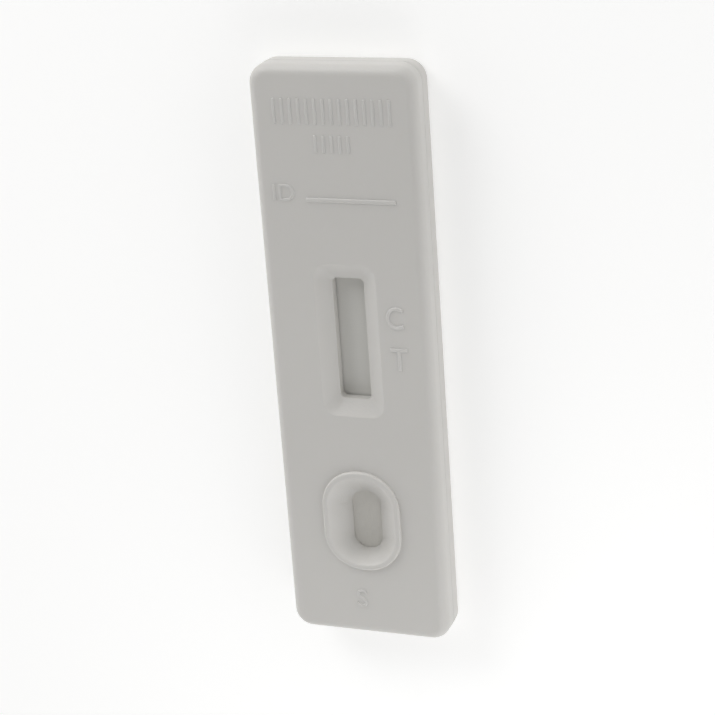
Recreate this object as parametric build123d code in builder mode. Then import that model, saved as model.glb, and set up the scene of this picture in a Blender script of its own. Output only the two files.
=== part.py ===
# Lateral flow cassette: two moulded shells, pressed together over a test strip.
# Millimetres. X is across, Y runs from the sample well's end (-Y) to the wick's end (+Y), Z is up.
# The cassette lies on its back: the origin is under its middle, at the height of the table.

from build123d import *
import os

os.makedirs("parts", exist_ok=True)

# Housing
width = 19.8
height = 4.8  # of the flat face
corner_radius = 2.3
wall = 1.0
face_wall = 1.0
floor_wall = 1.0
parting_height = 2.4  # where the two shells meet
draft = 1.5  # degrees, on the walls of both shells
face_round = 1.2
base_round = 0.7
seam_break = 0.12

# Reading window: a shallow bevel, and under it an upright frame that runs down to the membrane
window_to_conjugate = 1.1  # from its frame to the conjugate pad
window_rim_width = 7.5
window_rim_length = 18.6
window_rim_radius = 1.6
window_hole_width = 3.8
window_hole_length = 14.8
window_hole_radius = 0.6
window_bevel_depth = 1.1
window_gap = 0.25  # between the frame and the membrane
rim_round = 0.25

# Sample well: a funnel with a raised lip, which ends on the sample pad
well_to_conjugate = 2.1  # from the funnel's foot to the conjugate pad
well_mouth_width = 8.3
well_mouth_length = 11.4
well_mouth_flat = 0.5  # straight part of each rounded end
well_hole_width = 3.6
well_hole_length = 7.6
well_hole_flat = 0.2
well_lean = 0.6  # how far the hole lies nearer to the end than the mouth does
well_land = 0.3
well_gap = 0.05
lip_width = 0.65
lip_height = 0.4
lip_round = 0.25
skirt_wall = 0.8  # of the window frame and the funnel, inside the housing

# Strip: the lengths of its pads set the length of the housing
strip_width = 4.0
strip_end_room = 4.0  # from each end of the strip to the end wall
sample_length = 17.8
conjugate_length = 7.2
membrane_length = 25.2
wick_length = 14.8
sample_overlap = 1.5  # sample pad over the conjugate pad
conjugate_overlap = 1.5  # conjugate pad over the membrane
wick_overlap = 2.0  # absorbent pad over the membrane
pad_ramp = 1.0  # length over which a pad climbs onto the next layer
card_thickness = 0.25
membrane_thickness = 0.15
conjugate_thickness = 0.4
sample_thickness = 0.5
wick_thickness = 1.0
wick_room = 0.4  # from the strip's thickest place to the roof

# Rails and ribs that carry the strip
channel_clearance = 0.15
channel_end_clearance = 0.25
rail_wall = 0.8
rail_gap_width = 3.0
rail_gap_pitch = 15.0
rail_gap_count = 4
rail_clearance = 0.15  # below the window frame
rib_thickness = 0.8
rib_pitch = 5.0

# Pressure bars under the roof
bar_thickness = 0.8
bar_overhang = 0.5  # past the strip, on each side
bar_gap = 0.05
wick_bar_pitch = 5.0

# Press pins under the roof, in sockets that stand on the floor
pin_diameter = 1.9
pin_clearance = 0.05  # round the pin, in its socket
socket_diameter = 3.2
pin_inset = 0.6  # from the socket to the side wall
pin_from_end = 6.5
pin_tip_gap = 0.3
pin_chamfer = 0.3
socket_rise = 0.3  # above the parting

# Heights
roof = height - face_wall
bed = roof - wick_room - wick_thickness - membrane_thickness - card_thickness
card_top = bed + card_thickness
membrane_top = card_top + membrane_thickness
window_foot = membrane_top + window_gap
well_foot = card_top + sample_thickness + well_gap
lip_top = height + lip_height
bevel_foot = height - window_bevel_depth
mid_face = height - face_wall / 2
rail_top = window_foot - rail_clearance
socket_top = parting_height + socket_rise

# Places along the housing, with the strip in the middle of it
overlaps = sample_overlap + conjugate_overlap + wick_overlap
strip_length = sample_length + conjugate_length + membrane_length + wick_length - overlaps
length = strip_length + 2 * strip_end_room + 2 * wall
strip_start = -strip_length / 2
strip_end = strip_length / 2
sample_end = strip_start + sample_length
conjugate_start = sample_end - sample_overlap
conjugate_end = conjugate_start + conjugate_length
membrane_start = conjugate_end - conjugate_overlap
membrane_end = membrane_start + membrane_length
wick_start = membrane_end - wick_overlap
hole_y = conjugate_start - well_to_conjugate - skirt_wall - well_hole_length / 2
well_y = hole_y + well_lean
window_y = conjugate_end + window_to_conjugate + skirt_wall + window_hole_length / 2

# Places across the housing
channel_width = strip_width + 2 * channel_clearance
channel_length = strip_length + 2 * channel_end_clearance
rib_count = int(channel_length / rib_pitch)
pin_x = width / 2 - wall - pin_inset - socket_diameter / 2
pin_y = length / 2 - pin_from_end
cavity_radius = corner_radius - wall
well_mouth_radius = (well_mouth_width - well_mouth_flat) / 2
well_hole_radius = (well_hole_width - well_hole_flat) / 2


def along(low, high, share):
    """The size a given share of the way up a bevel."""
    return low + (high - low) * share


# Upper shell
with BuildPart() as top_shell:
    # Face and walls
    with BuildSketch(Plane.XY.offset(parting_height)):
        RectangleRounded(width, length, corner_radius)
    extrude(amount=height - parting_height, taper=draft)
    fillet(edges().group_by(Axis.Z)[-1], face_round)
    chamfer(edges().group_by(Axis.Z)[0], seam_break)
    with BuildSketch(Plane.XY.offset(parting_height)):
        RectangleRounded(width - 2 * wall, length - 2 * wall, cavity_radius)
    extrude(amount=roof - parting_height, taper=draft, mode=Mode.SUBTRACT)

    # Window: its upright frame under the roof, then the bevel and the hole through both
    with BuildSketch(Plane.XY.offset(window_foot)):
        with Locations((0, window_y)):
            RectangleRounded(
                window_hole_width + 2 * skirt_wall,
                window_hole_length + 2 * skirt_wall,
                window_hole_radius + skirt_wall,
            )
    extrude(amount=mid_face - window_foot)
    with BuildSketch(Plane.XY.offset(bevel_foot)) as window_hole:
        with Locations((0, window_y)):
            RectangleRounded(window_hole_width, window_hole_length, window_hole_radius)
    with BuildSketch(Plane.XY.offset(height)):
        with Locations((0, window_y)):
            RectangleRounded(window_rim_width, window_rim_length, window_rim_radius)
    loft(mode=Mode.SUBTRACT)
    extrude(window_hole.sketch, amount=window_foot - bevel_foot, mode=Mode.SUBTRACT)
    face = faces().sort_by(Axis.Z)[-1]
    fillet(face.inner_wires().edges(), rim_round)

    # Well: the funnel's outside, its raised lip, then the bowl and the hole
    share = (mid_face - well_foot - well_land) / (lip_top - well_foot - well_land)
    with BuildSketch(Plane.XY.offset(well_foot)):
        with Locations((0, hole_y)):
            RectangleRounded(
                well_hole_width + 2 * skirt_wall,
                well_hole_length + 2 * skirt_wall,
                well_hole_radius + skirt_wall,
            )
    with BuildSketch(Plane.XY.offset(mid_face)):
        with Locations((0, along(hole_y, well_y, share))):
            RectangleRounded(
                along(well_hole_width, well_mouth_width, share) + 2 * skirt_wall,
                along(well_hole_length, well_mouth_length, share) + 2 * skirt_wall,
                along(well_hole_radius, well_mouth_radius, share) + skirt_wall,
            )
    loft()
    with BuildSketch(Plane.XY.offset(height)):
        with Locations((0, well_y)):
            RectangleRounded(
                well_mouth_width + 2 * lip_width,
                well_mouth_length + 2 * lip_width,
                well_mouth_radius + lip_width,
            )
    extrude(amount=lip_height)
    with BuildSketch(Plane.XY.offset(well_foot + well_land)) as well_hole:
        with Locations((0, hole_y)):
            RectangleRounded(well_hole_width, well_hole_length, well_hole_radius)
    with BuildSketch(Plane.XY.offset(lip_top)):
        with Locations((0, well_y)):
            RectangleRounded(well_mouth_width, well_mouth_length, well_mouth_radius)
    loft(mode=Mode.SUBTRACT)
    extrude(well_hole.sketch, amount=-well_land, mode=Mode.SUBTRACT)
    fillet(faces().sort_by(Axis.Z)[-1].edges(), lip_round)

    # Pressure bars: one on each overlap of the pads, two more on the wick
    sample_bar = conjugate_start + sample_overlap / 2
    conjugate_bar = membrane_start + conjugate_overlap / 2
    wick_bar = membrane_end - wick_overlap / 2
    wick_top = card_top + wick_thickness
    bars = [
        (sample_bar, card_top + conjugate_thickness + sample_thickness),
        (conjugate_bar, membrane_top + conjugate_thickness),
        (wick_bar, membrane_top + wick_thickness),
        (wick_bar + wick_bar_pitch, wick_top),
        (wick_bar + 2 * wick_bar_pitch, wick_top),
    ]
    for bar_y, strip_top in bars:
        with BuildSketch(Plane.XY.offset(roof)):
            with Locations((0, bar_y)):
                Rectangle(strip_width + 2 * bar_overhang, bar_thickness)
        extrude(amount=strip_top + bar_gap - roof)

    # Press pins
    with BuildSketch(Plane.XY.offset(roof)):
        with GridLocations(2 * pin_x, pin_y, 2, 3):
            Circle(pin_diameter / 2)
    extrude(amount=floor_wall + pin_tip_gap - roof)
    chamfer(edges().group_by(Axis.Z)[0], pin_chamfer)

top_shell.part.label = "top_shell"
export_step(top_shell.part, "parts/top_shell.step")

# Lower shell
with BuildPart() as bottom_shell:
    # Floor and walls
    with BuildSketch(Plane.XY.offset(parting_height)):
        RectangleRounded(width, length, corner_radius)
    extrude(amount=-parting_height, taper=draft)
    fillet(edges().group_by(Axis.Z)[0], base_round)
    chamfer(edges().group_by(Axis.Z)[-1], seam_break)
    with BuildSketch(Plane.XY.offset(parting_height)):
        RectangleRounded(width - 2 * wall, length - 2 * wall, cavity_radius)
    extrude(amount=floor_wall - parting_height, taper=draft, mode=Mode.SUBTRACT)

    # Rails round the strip, with gaps in the long sides
    with BuildSketch(Plane.XY.offset(floor_wall)):
        Rectangle(channel_width + 2 * rail_wall, channel_length + 2 * rail_wall)
        Rectangle(channel_width, channel_length, mode=Mode.SUBTRACT)
        with GridLocations(0, rail_gap_pitch, 1, rail_gap_count):
            Rectangle(channel_width + 3 * rail_wall, rail_gap_width, mode=Mode.SUBTRACT)
    extrude(amount=rail_top - floor_wall)

    # Ribs under the strip
    with BuildSketch(Plane.XY.offset(floor_wall)):
        with GridLocations(0, rib_pitch, 1, rib_count):
            Rectangle(channel_width + 2 * rail_wall, rib_thickness)
    extrude(amount=bed - floor_wall)

    # Sockets for the press pins
    with BuildSketch(Plane.XY.offset(floor_wall)):
        with GridLocations(2 * pin_x, pin_y, 2, 3):
            Circle(socket_diameter / 2)
            Circle(pin_diameter / 2 + pin_clearance, mode=Mode.SUBTRACT)
    extrude(amount=socket_top - floor_wall)

bottom_shell.part.label = "bottom_shell"
export_step(bottom_shell.part, "parts/bottom_shell.step")

# Strip, from the ribs up
with BuildPart() as backing_card:
    with BuildSketch(Plane.XY.offset(bed)):
        Rectangle(strip_width, strip_length)
    extrude(amount=card_thickness)

backing_card.part.label = "backing_card"
export_step(backing_card.part, "parts/backing_card.step")

with BuildPart() as membrane:
    with BuildSketch(Plane.XY.offset(card_top)):
        with Locations((0, (membrane_start + membrane_end) / 2)):
            Rectangle(strip_width, membrane_end - membrane_start)
    extrude(amount=membrane_thickness)

membrane.part.label = "membrane"
export_step(membrane.part, "parts/membrane.step")

# The pads lie on the card and climb onto the next layer: side profiles, drawn across the strip
with BuildPart() as conjugate_pad:
    with BuildSketch(Plane.YZ):
        with BuildLine():
            Polyline(
                (conjugate_start, card_top),
                (membrane_start - pad_ramp, card_top),
                (membrane_start, membrane_top),
                (conjugate_end, membrane_top),
                (conjugate_end, membrane_top + conjugate_thickness),
                (membrane_start, membrane_top + conjugate_thickness),
                (membrane_start - pad_ramp, card_top + conjugate_thickness),
                (conjugate_start, card_top + conjugate_thickness),
                close=True,
            )
        make_face()
    extrude(amount=strip_width / 2, both=True)

conjugate_pad.part.label = "conjugate_pad"
export_step(conjugate_pad.part, "parts/conjugate_pad.step")

with BuildPart() as sample_pad:
    conjugate_top = card_top + conjugate_thickness
    with BuildSketch(Plane.YZ):
        with BuildLine():
            Polyline(
                (strip_start, card_top),
                (conjugate_start - pad_ramp, card_top),
                (conjugate_start, conjugate_top),
                (sample_end, conjugate_top),
                (sample_end, conjugate_top + sample_thickness),
                (conjugate_start, conjugate_top + sample_thickness),
                (conjugate_start - pad_ramp, card_top + sample_thickness),
                (strip_start, card_top + sample_thickness),
                close=True,
            )
        make_face()
    extrude(amount=strip_width / 2, both=True)

sample_pad.part.label = "sample_pad"
export_step(sample_pad.part, "parts/sample_pad.step")

with BuildPart() as absorbent_pad:
    with BuildSketch(Plane.YZ):
        with BuildLine():
            Polyline(
                (strip_end, card_top),
                (membrane_end + pad_ramp, card_top),
                (membrane_end, membrane_top),
                (wick_start, membrane_top),
                (wick_start, membrane_top + wick_thickness),
                (membrane_end, membrane_top + wick_thickness),
                (membrane_end + pad_ramp, card_top + wick_thickness),
                (strip_end, card_top + wick_thickness),
                close=True,
            )
        make_face()
    extrude(amount=strip_width / 2, both=True)

absorbent_pad.part.label = "absorbent_pad"
export_step(absorbent_pad.part, "parts/absorbent_pad.step")
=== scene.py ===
"""Looks of a lateral flow cassette: a white moulded housing pressed together over a test strip.

Metres, in the frame of the solids: X across, +Y away from the sample well, Z up out of the face.
"""

import math

import bmesh
import bpy
from mathutils import Matrix, Vector


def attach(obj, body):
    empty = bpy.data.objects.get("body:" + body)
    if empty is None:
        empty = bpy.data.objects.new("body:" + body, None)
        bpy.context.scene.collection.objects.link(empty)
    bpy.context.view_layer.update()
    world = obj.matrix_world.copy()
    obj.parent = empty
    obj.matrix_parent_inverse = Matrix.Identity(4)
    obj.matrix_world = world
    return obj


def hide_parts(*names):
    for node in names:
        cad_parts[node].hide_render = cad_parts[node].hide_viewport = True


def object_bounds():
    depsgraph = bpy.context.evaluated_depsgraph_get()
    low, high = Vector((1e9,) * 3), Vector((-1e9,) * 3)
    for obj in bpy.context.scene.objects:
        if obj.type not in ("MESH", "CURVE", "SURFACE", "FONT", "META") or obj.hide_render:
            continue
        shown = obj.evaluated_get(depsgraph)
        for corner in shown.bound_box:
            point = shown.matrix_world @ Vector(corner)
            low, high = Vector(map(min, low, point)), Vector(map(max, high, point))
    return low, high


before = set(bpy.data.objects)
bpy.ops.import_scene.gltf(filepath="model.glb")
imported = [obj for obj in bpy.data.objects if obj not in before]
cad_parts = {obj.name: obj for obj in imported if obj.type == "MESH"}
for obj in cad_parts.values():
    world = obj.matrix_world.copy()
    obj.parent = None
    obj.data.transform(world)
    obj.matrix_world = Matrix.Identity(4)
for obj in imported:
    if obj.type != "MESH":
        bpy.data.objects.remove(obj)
cad_low, cad_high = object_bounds()

# Lower shell of the housing: high-impact polystyrene, injection moulded in a two-plate tool.
# It carries the strip on ribs between rails, and takes the upper shell's pins in its sockets.
scene = bpy.context.scene
mm = 0.001


def linear(hex_colour):
    """An sRGB hex colour as linear RGBA."""
    parts = [int(hex_colour[i : i + 2], 16) / 255 for i in (1, 3, 5)]
    return (*[p / 12.92 if p <= 0.04045 else ((p + 0.055) / 1.055) ** 2.4 for p in parts], 1.0)


def add(tree, kind, values=None, links=None):
    """Adds a node, sets its inputs or properties by name, and links sockets to its inputs."""
    made = tree.nodes.new(kind)
    for name, value in (values or {}).items():
        if name in made.inputs:
            made.inputs[name].default_value = value
        else:
            setattr(made, name, value)
    for name, socket in (links or {}).items():
        tree.links.new(socket, made.inputs[name])
    return made


def new_material(name):
    """An empty material with its tree, its shader and its Object coordinates."""
    material = bpy.data.materials.new(name)
    material.use_nodes = True
    tree = material.node_tree
    tree.nodes.clear()
    shader = add(tree, "ShaderNodeBsdfPrincipled")
    add(tree, "ShaderNodeOutputMaterial", links={"Surface": shader.outputs["BSDF"]})
    place = add(tree, "ShaderNodeTexCoord").outputs["Object"]
    return material, tree, shader, place


def welded_copy(node, name, material, smooth_below):
    """A welded copy of a solid's mesh, shaded smooth except where its faces meet at a sharp edge."""
    bm = bmesh.new()
    bm.from_mesh(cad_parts[node].data)
    bmesh.ops.remove_doubles(bm, verts=bm.verts, dist=1e-6)
    for face in bm.faces:
        face.smooth = True
        face.material_index = 0
    for edge in bm.edges:
        edge.smooth = edge.calc_face_angle(math.pi) < smooth_below
    mesh = bpy.data.meshes.new(name)
    bm.to_mesh(mesh)
    bm.free()
    mesh.materials.clear()
    mesh.materials.append(material)
    piece = bpy.data.objects.new(name, mesh)
    scene.collection.objects.link(piece)
    return piece


# Polystyrene moulded against lightly spark-eroded steel: opaque off-white, satin, and a little
# light enters it, so small edges look soft. The grain is drawn at 0.22 mm, coarser than the real
# one, to show at all; the slow waves are the shrinkage of a thin flat wall.
housing, tree, shader, place = new_material("moulded_polystyrene")
grain_size, grain_height = 0.22 * mm, 0.04 * mm
wave_size, wave_height = 6 * mm, 0.02 * mm
tone_size = 25 * mm
tone = add(tree, "ShaderNodeTexNoise", {"Scale": 1 / tone_size, "Detail": 2.0}, {"Vector": place})
tint = add(tree, "ShaderNodeMix", {"data_type": "RGBA"}, {"Factor": tone.outputs["Fac"]})
tint.inputs["A"].default_value = linear("#D5D3CF")
tint.inputs["B"].default_value = linear("#D0CECA")
grain = add(
    tree, "ShaderNodeTexNoise", {"Scale": 1 / grain_size, "Detail": 3.0}, {"Vector": place}
)
wave = add(tree, "ShaderNodeTexNoise", {"Scale": 1 / wave_size, "Detail": 1.0}, {"Vector": place})
slow = add(
    tree,
    "ShaderNodeBump",
    {"Strength": 0.6, "Distance": wave_height},
    {"Height": wave.outputs["Fac"]},
)
fine = add(
    tree,
    "ShaderNodeBump",
    {"Strength": 0.6, "Distance": grain_height},
    {"Height": grain.outputs["Fac"], "Normal": slow.outputs["Normal"]},
)
gloss = add(
    tree, "ShaderNodeMapRange", {"To Min": 0.36, "To Max": 0.46}, {"Value": grain.outputs["Fac"]}
)
shader.inputs["IOR"].default_value = 1.59
shader.inputs["Subsurface Weight"].default_value = 0.25
shader.inputs["Subsurface Scale"].default_value = 0.3 * mm
shader.inputs["Subsurface Radius"].default_value = (1.0, 0.95, 0.85)
tree.links.new(tint.outputs["Result"], shader.inputs["Base Color"])
tree.links.new(gloss.outputs["Result"], shader.inputs["Roughness"])
tree.links.new(fine.outputs["Normal"], shader.inputs["Normal"])

sharp_edge = math.radians(50)  # rounded edges are shaded smooth below it
lower = welded_copy("bottom_shell", "lower_shell", housing, sharp_edge)
lower.modifiers.new("flat_faces_stay_flat", "WEIGHTED_NORMAL").keep_sharp = True
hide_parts("bottom_shell")
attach(lower, "root")

# Backing card of the strip: white PVC sheet with pressure-sensitive adhesive on its upper side,
# smooth and slightly glossy, cut with the strip on a guillotine. It lies loose on the lower
# shell's ribs.
card_stuff, tree, shader, place = new_material("pvc_card_with_adhesive")
calender_size, calender_height = 0.6 * mm, 0.004 * mm
calender = add(
    tree, "ShaderNodeTexNoise", {"Scale": 1 / calender_size, "Detail": 2.0}, {"Vector": place}
)
sheet_bump = add(
    tree,
    "ShaderNodeBump",
    {"Strength": 0.3, "Distance": calender_height},
    {"Height": calender.outputs["Fac"]},
)
shader.inputs["Base Color"].default_value = linear("#ECECE8")
shader.inputs["Roughness"].default_value = 0.35
shader.inputs["IOR"].default_value = 1.54
tree.links.new(sheet_bump.outputs["Normal"], shader.inputs["Normal"])
card = welded_copy("backing_card", "backing_card_sheet", card_stuff, math.radians(30))
card.modifiers.new("cut_edges", "BEVEL").width = 0.02 * mm
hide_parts("backing_card")
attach(card, "root")


# Membrane: nitrocellulose cast on a clear film, stuck to the card under the window. Unused, so
# it shows no test or control line. It is matt, and its pores are drawn coarser than they are.
def soft_piece(node, name, material, edge):
    """A welded copy of a pad's solid with its cut edges softened."""
    piece = welded_copy(node, name, material, math.radians(60))
    soften = piece.modifiers.new("soft_cut_edges", "BEVEL")
    soften.width = edge
    soften.segments = 3
    soften.limit_method = "ANGLE"
    soften.angle_limit = math.radians(40)
    return piece


nitrocellulose, tree, shader, place = new_material("cast_nitrocellulose")
pore_size, pore_height = 0.12 * mm, 0.004 * mm
pores = add(tree, "ShaderNodeTexNoise", {"Scale": 1 / pore_size, "Detail": 4.0}, {"Vector": place})
cast = add(tree, "ShaderNodeMix", {"data_type": "RGBA"}, {"Factor": pores.outputs["Fac"]})
cast.inputs["A"].default_value = linear("#DDDCD7")
cast.inputs["B"].default_value = linear("#E5E4DF")
pore_bump = add(
    tree,
    "ShaderNodeBump",
    {"Strength": 0.4, "Distance": pore_height},
    {"Height": pores.outputs["Fac"]},
)
shader.inputs["Roughness"].default_value = 0.85
shader.inputs["IOR"].default_value = 1.5
tree.links.new(cast.outputs["Result"], shader.inputs["Base Color"])
tree.links.new(pore_bump.outputs["Normal"], shader.inputs["Normal"])
film = soft_piece("membrane", "nitrocellulose_membrane", nitrocellulose, 0.02 * mm)
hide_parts("membrane")
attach(film, "root")


# Conjugate pad: a mat of glass fibre, dried with pale red gold conjugate. It lies on the card
# and climbs onto the membrane's end, so that the sample carries the conjugate onto it.
def fibre_material(name, light, dark, fibre_size, relief):
    """A matt felt of fibres: the pattern is stretched along the strip, as the mat was drawn."""
    material, tree, shader, place = new_material(name)
    drawn = add(tree, "ShaderNodeMapping", {"Scale": (1.0, 0.25, 1.0)}, {"Vector": place})
    felt = add(
        tree,
        "ShaderNodeTexNoise",
        {"Scale": 1 / fibre_size, "Detail": 6.0, "Roughness": 0.65, "Distortion": 1.5},
        {"Vector": drawn.outputs["Vector"]},
    )
    blend = add(tree, "ShaderNodeMix", {"data_type": "RGBA"}, {"Factor": felt.outputs["Fac"]})
    blend.inputs["A"].default_value = linear(dark)
    blend.inputs["B"].default_value = linear(light)
    bump = add(
        tree,
        "ShaderNodeBump",
        {"Strength": 0.8, "Distance": relief},
        {"Height": felt.outputs["Fac"]},
    )
    shader.inputs["Roughness"].default_value = 0.95
    shader.inputs["Sheen Weight"].default_value = 0.15
    tree.links.new(blend.outputs["Result"], shader.inputs["Base Color"])
    tree.links.new(bump.outputs["Normal"], shader.inputs["Normal"])
    return material


glass_fibre = fibre_material(
    "glass_fibre_with_conjugate", "#DCC3C8", "#CDACB3", fibre_size=0.2 * mm, relief=0.03 * mm
)
conjugate = soft_piece("conjugate_pad", "glass_fibre_pad", glass_fibre, 0.06 * mm)
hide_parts("conjugate_pad")
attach(conjugate, "root")

# Sample pad: soft cellulose blotting fibre, an off-white matt felt, under the well and over the
# conjugate pad's end. The bottom of the funnel is just above it, so that drops can't run past it.
cellulose = fibre_material(
    "cellulose_fibre", "#E4E2DC", "#D4D1CA", fibre_size=0.3 * mm, relief=0.05 * mm
)
sample = soft_piece("sample_pad", "cellulose_sample_pad", cellulose, 0.08 * mm)
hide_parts("sample_pad")
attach(sample, "root")

# Absorbent pad: thick cotton-linter paper, matt and coarser than the other pads, on the
# membrane's far end. It draws the sample along the strip, and the upper shell's bars hold it down.
cotton = fibre_material(
    "cotton_linter_paper", "#EAE9E3", "#DEDCD4", fibre_size=0.35 * mm, relief=0.05 * mm
)
wick = soft_piece("absorbent_pad", "cotton_absorbent_pad", cotton, 0.12 * mm)
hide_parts("absorbent_pad")
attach(wick, "root")


# Marks on the face, engraved in the tool and so raised on the moulding: the line letters C and T
# beside the window, S by the well, and ID before a line to write on. Their strokes are half a
# millimetre wide and softly rounded, in the housing's own plastic.
lip_height = 0.4 * mm  # of the well's lip above the face
face = cad_high.z - lip_height
well_end = cad_low.y
marks = bmesh.new()


def raise_text(words, cap_height, wide, x, y, relief):
    """Adds raised sans-serif capitals to the marks, centred on x, y, with rounded edges."""
    capitals_of_size = 0.7  # how tall the font's capitals are, for a size of 1
    curve = bpy.data.curves.new("mark", "FONT")
    curve.body = words
    curve.size = cap_height / capitals_of_size
    curve.resolution_u = 6
    curve.bevel_depth = cap_height * 0.07
    curve.bevel_resolution = 3
    curve.offset = -cap_height * 0.045
    text = bpy.data.objects.new("mark", curve)
    scene.collection.objects.link(text)
    bpy.context.view_layer.update()
    mesh = bpy.data.meshes.new_from_object(
        text.evaluated_get(bpy.context.evaluated_depsgraph_get())
    )
    low = Vector([min(v.co[i] for v in mesh.vertices) for i in range(3)])
    high = Vector([max(v.co[i] for v in mesh.vertices) for i in range(3)])
    grow = cap_height / (high.y - low.y)
    middle = (low + high) / 2
    mesh.transform(
        Matrix.Translation((x, y, face + relief - high.z))
        @ Matrix.Diagonal((wide * grow, grow, 1, 1))
        @ Matrix.Translation((-middle.x, -middle.y, 0))
    )
    marks.from_mesh(mesh)
    bpy.data.objects.remove(text)
    bpy.data.meshes.remove(mesh)


# Letters, height, width as a share of the font's own, place across, from the well's end, relief
for letters, tall, wide, across, from_end, relief in (
    ("C", 2.8, 0.86, 5.75, 41.0, 0.12),
    ("T", 2.8, 0.9, 6.0, 36.0, 0.12),
    ("S", 2.4, 0.95, -0.7, 4.9, 0.12),
    ("ID", 2.0, 1.05, -6.5, 55.4, 0.09),
):
    raise_text(letters, tall * mm, wide, across * mm, well_end + from_end * mm, relief * mm)


# Grip ridges near the far end: two rows of low upright ribs, engraved in the tool as the letters
# are, and so of the housing's own plastic. A longer one, lying across, is the line to write on.
def ridge_tree():
    """Geometry Nodes: a row of upright ridges, centred, each a block that a bevel then rounds."""
    tree = bpy.data.node_groups.new("row_of_ridges", "GeometryNodeTree")
    for name, kind in (
        ("Count", "NodeSocketInt"),
        ("Pitch", "NodeSocketFloat"),
        ("Ridge Size", "NodeSocketVector"),
        ("Row Middle", "NodeSocketVector"),
        ("Material", "NodeSocketMaterial"),
    ):
        tree.interface.new_socket(name, in_out="INPUT", socket_type=kind)
    tree.interface.new_socket("Geometry", in_out="OUTPUT", socket_type="NodeSocketGeometry")
    given = add(tree, "NodeGroupInput").outputs
    step = add(tree, "ShaderNodeCombineXYZ", links={"X": given["Pitch"]})
    last = add(tree, "ShaderNodeMath", {"operation": "SUBTRACT"})
    tree.links.new(given["Count"], last.inputs[0])
    last.inputs[1].default_value = 1
    half = add(tree, "ShaderNodeMath", {"operation": "MULTIPLY"})
    tree.links.new(last.outputs["Value"], half.inputs[0])
    half.inputs[1].default_value = -0.5
    back = add(tree, "ShaderNodeVectorMath", {"operation": "SCALE"})
    tree.links.new(step.outputs["Vector"], back.inputs[0])
    tree.links.new(half.outputs["Value"], back.inputs["Scale"])
    start = add(tree, "ShaderNodeVectorMath", {"operation": "ADD"})
    tree.links.new(back.outputs["Vector"], start.inputs[0])
    tree.links.new(given["Row Middle"], start.inputs[1])
    row = add(
        tree,
        "GeometryNodeMeshLine",
        {"mode": "OFFSET"},
        {"Count": given["Count"], "Start Location": start.outputs["Vector"]},
    )
    tree.links.new(step.outputs["Vector"], row.inputs["Offset"])
    ridge = add(tree, "GeometryNodeMeshCube", links={"Size": given["Ridge Size"]})
    ridges = add(
        tree,
        "GeometryNodeInstanceOnPoints",
        links={"Points": row.outputs["Mesh"], "Instance": ridge.outputs["Mesh"]},
    )
    real = add(
        tree, "GeometryNodeRealizeInstances", links={"Geometry": ridges.outputs["Instances"]}
    )
    dressed = add(
        tree,
        "GeometryNodeSetMaterial",
        links={"Geometry": real.outputs["Geometry"], "Material": given["Material"]},
    )
    add(tree, "NodeGroupOutput", links={"Geometry": dressed.outputs["Geometry"]})
    return tree


ridges_of = ridge_tree()
ridge_pitch = 0.97 * mm
ridge_round = 0.2 * mm


def raise_ridges(count, length, width, relief, x, y):
    """Adds a row of rounded ridges to the marks: width is across the housing, length along it."""
    holder = bpy.data.objects.new("ridges", bpy.data.meshes.new("ridges"))
    scene.collection.objects.link(holder)
    row = holder.modifiers.new("row", "NODES")
    row.node_group = ridges_of
    sunk = 0.2 * mm  # below the face
    values = {
        "Count": count,
        "Pitch": ridge_pitch,
        "Ridge Size": (width, length, relief + sunk),
        "Row Middle": (x, y, face + (relief - sunk) / 2),
        "Material": housing,
    }
    for item in ridges_of.interface.items_tree:
        if item.in_out == "INPUT":
            row[item.identifier] = values[item.name]
    rounded = holder.modifiers.new("rounded", "BEVEL")
    rounded.width = min(ridge_round, width * 0.48)
    rounded.segments = 4
    bpy.context.view_layer.update()
    mesh = bpy.data.meshes.new_from_object(
        holder.evaluated_get(bpy.context.evaluated_depsgraph_get())
    )
    marks.from_mesh(mesh)
    bpy.data.objects.remove(holder)
    bpy.data.meshes.remove(mesh)


# Count, length, width, relief, place across, from the well's end; the last is the line to write on
for count, long, wide, relief, across, from_end in (
    (15, 3.0, 0.42, 0.08, -0.1, 64.8),
    (5, 2.1, 0.42, 0.08, -0.3, 61.1),
    (1, 0.55, 10.7, 0.12, 1.5, 54.65),
):
    raise_ridges(
        count, long * mm, wide * mm, relief * mm, across * mm, well_end + from_end * mm
    )

# Upper shell: the same polystyrene, with the window's bevel, the well's funnel and lip, and the
# raised marks moulded in one. Its pins hold it in the lower shell's sockets.
upper = welded_copy("top_shell", "upper_shell", housing, sharp_edge)
whole = bmesh.new()
whole.from_mesh(upper.data)
raised = bpy.data.meshes.new("raised")
for facet in marks.faces:
    facet.smooth = True
    facet.material_index = 0
for edge in marks.edges:
    edge.smooth = edge.calc_face_angle(math.pi) < sharp_edge
marks.to_mesh(raised)
marks.free()
whole.from_mesh(raised)
whole.to_mesh(upper.data)
whole.free()
bpy.data.meshes.remove(raised)
upper.modifiers.new("flat_faces_stay_flat", "WEIGHTED_NORMAL").keep_sharp = True
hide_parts("top_shell")
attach(upper, "root")


# Floor: plain matt white, much larger than the view. What the camera sees of it directly is lifted
# to white without putting more light on the cassette, and it keeps the shadow.
def seen_directly(tree):
    """1 for what the camera, a reflection or a clear body looks at, 0 for the light it gives."""
    rays = add(tree, "ShaderNodeLightPath").outputs
    seen = rays["Is Camera Ray"]
    for ray in ("Is Glossy Ray", "Is Transmission Ray"):
        larger = add(tree, "ShaderNodeMath", {"operation": "MAXIMUM"})
        tree.links.new(seen, larger.inputs[0])
        tree.links.new(rays[ray], larger.inputs[1])
        seen = larger.outputs["Value"]
    return seen


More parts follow.
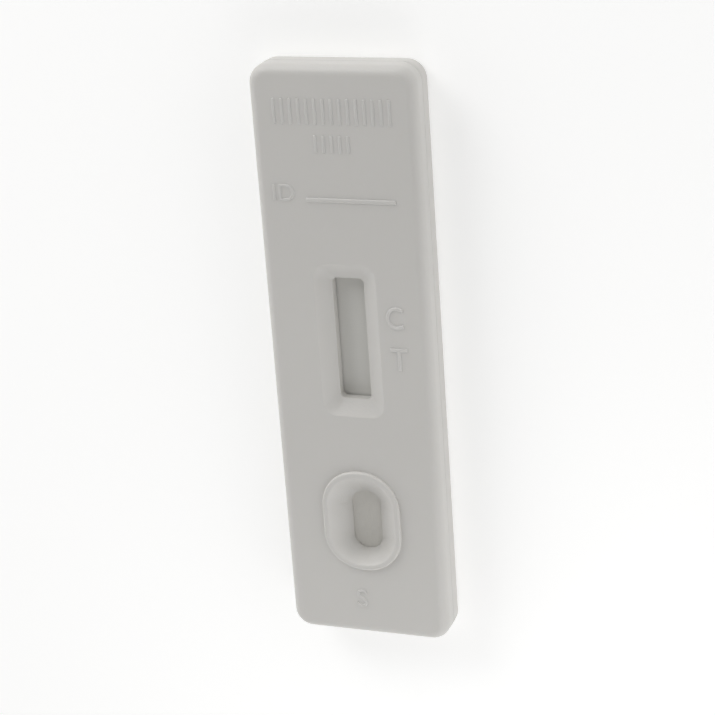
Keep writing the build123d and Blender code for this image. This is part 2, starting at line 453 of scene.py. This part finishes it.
floor_stuff, tree, shader, place = new_material("matt_white_floor")
shader.inputs["Base Color"].default_value = linear("#F6F6F5")
shader.inputs["Roughness"].default_value = 0.9
shader.inputs["Specular IOR Level"].default_value = 0.1
lift_near, lift_far = 0.34, 0.5  # the lamps leave the floor darker far from the cassette
distance = add(tree, "ShaderNodeVectorMath", {"operation": "LENGTH"}, {"Vector": place})
need = add(
    tree,
    "ShaderNodeMapRange",
    {"From Min": 0.1, "From Max": 0.9, "To Min": lift_near, "To Max": lift_far},
    {"Value": distance.outputs["Value"]},
)
lift = add(tree, "ShaderNodeMath", {"operation": "MULTIPLY"})
tree.links.new(seen_directly(tree), lift.inputs[0])
tree.links.new(need.outputs["Result"], lift.inputs[1])
glow = add(tree, "ShaderNodeEmission", links={"Strength": lift.outputs["Value"]})
both = add(tree, "ShaderNodeAddShader")
tree.links.new(shader.outputs["BSDF"], both.inputs[0])
tree.links.new(glow.outputs["Emission"], both.inputs[1])
output = next(node for node in tree.nodes if node.bl_idname == "ShaderNodeOutputMaterial")
tree.links.new(both.outputs["Shader"], output.inputs["Surface"])
floor_mesh = bpy.data.meshes.new("floor")
reach = 4.0
floor_mesh.from_pydata(
    [(-reach, -reach, 0), (reach, -reach, 0), (reach, reach, 0), (-reach, reach, 0)],
    [],
    [(0, 1, 2, 3)],
)
floor_mesh.materials.append(floor_stuff)
floor = bpy.data.objects.new("floor", floor_mesh)
scene.collection.objects.link(floor)

# World: a light tent, bright round the sides and dim straight above, so that the face is the
# darkest of the large surfaces, its edges are light and the deep strip is in shade. The camera
# sees it as the same white as the floor.
world = bpy.data.worlds.new("light_tent")
scene.world = world
world.use_nodes = True
tent = world.node_tree
tent.nodes.clear()
direction = add(tent, "ShaderNodeTexCoord").outputs["Object"]
height = add(tent, "ShaderNodeSeparateXYZ", links={"Vector": direction}).outputs["Z"]
sides, top, fades_by = 1.8, 0.24, 0.8
strength = add(
    tent,
    "ShaderNodeMapRange",
    {"interpolation_type": "SMOOTHSTEP", "From Max": fades_by, "To Min": sides, "To Max": top},
    {"Value": height},
)
lighting = add(tent, "ShaderNodeBackground", links={"Strength": strength.outputs["Result"]})
seen = add(tent, "ShaderNodeBackground", {"Strength": 1.0})
for background in (lighting, seen):
    background.inputs["Color"].default_value = (1, 1, 1, 1)
choose = add(tent, "ShaderNodeMixShader")
tent.links.new(seen_directly(tent), choose.inputs[0])
tent.links.new(lighting.outputs["Background"], choose.inputs[1])
tent.links.new(seen.outputs["Background"], choose.inputs[2])
add(tent, "ShaderNodeOutputWorld", links={"Surface": choose.outputs["Shader"]})


# Lamps: a large soft one, low beyond the far end and to the left, and a small weak one close to
# the well's end and a little to the right, which makes the face lighter there than far off.
def soft_lamp(name, towards, distance, size, power):
    """A square lamp that lights the cassette from one direction."""
    light = bpy.data.lights.new(name, "AREA")
    light.shape = "SQUARE"
    light.size = size
    light.energy = power
    lamp = bpy.data.objects.new(name, light)
    scene.collection.objects.link(lamp)
    back = Vector(towards).normalized()
    lamp.location = back * distance
    lamp.rotation_euler = back.to_track_quat("Z", "Y").to_euler()
    lamp.visible_camera = False


soft_lamp("far_end_lamp", (-0.58, 0.75, 0.38), distance=0.6, size=0.3, power=0.9)
soft_lamp("well_end_lamp", (0.35, -0.75, 0.55), distance=0.12, size=0.08, power=0.02)

# Camera: the photograph's own direction and distance, turned to put the cassette in the middle
# of the frame, with the far end up.
stand = Vector((81.3, 86.3, 212.6)) * mm
aim = Vector((0.0, 0.0, 2.4)) * mm
image_up = Vector((-0.0485, 0.9431, -0.3289))
camera = bpy.data.cameras.new("camera")
camera.sensor_width = 36
camera.lens = 105
camera.clip_start = 0.01
eye = bpy.data.objects.new("camera", camera)
scene.collection.objects.link(eye)
back = (stand - aim).normalized()
right = image_up.cross(back).normalized()
up = back.cross(right)
eye.matrix_world = Matrix.Translation(stand) @ Matrix((right, up, back)).transposed().to_4x4()
scene.camera = eye

scene.view_settings.view_transform = "Standard"
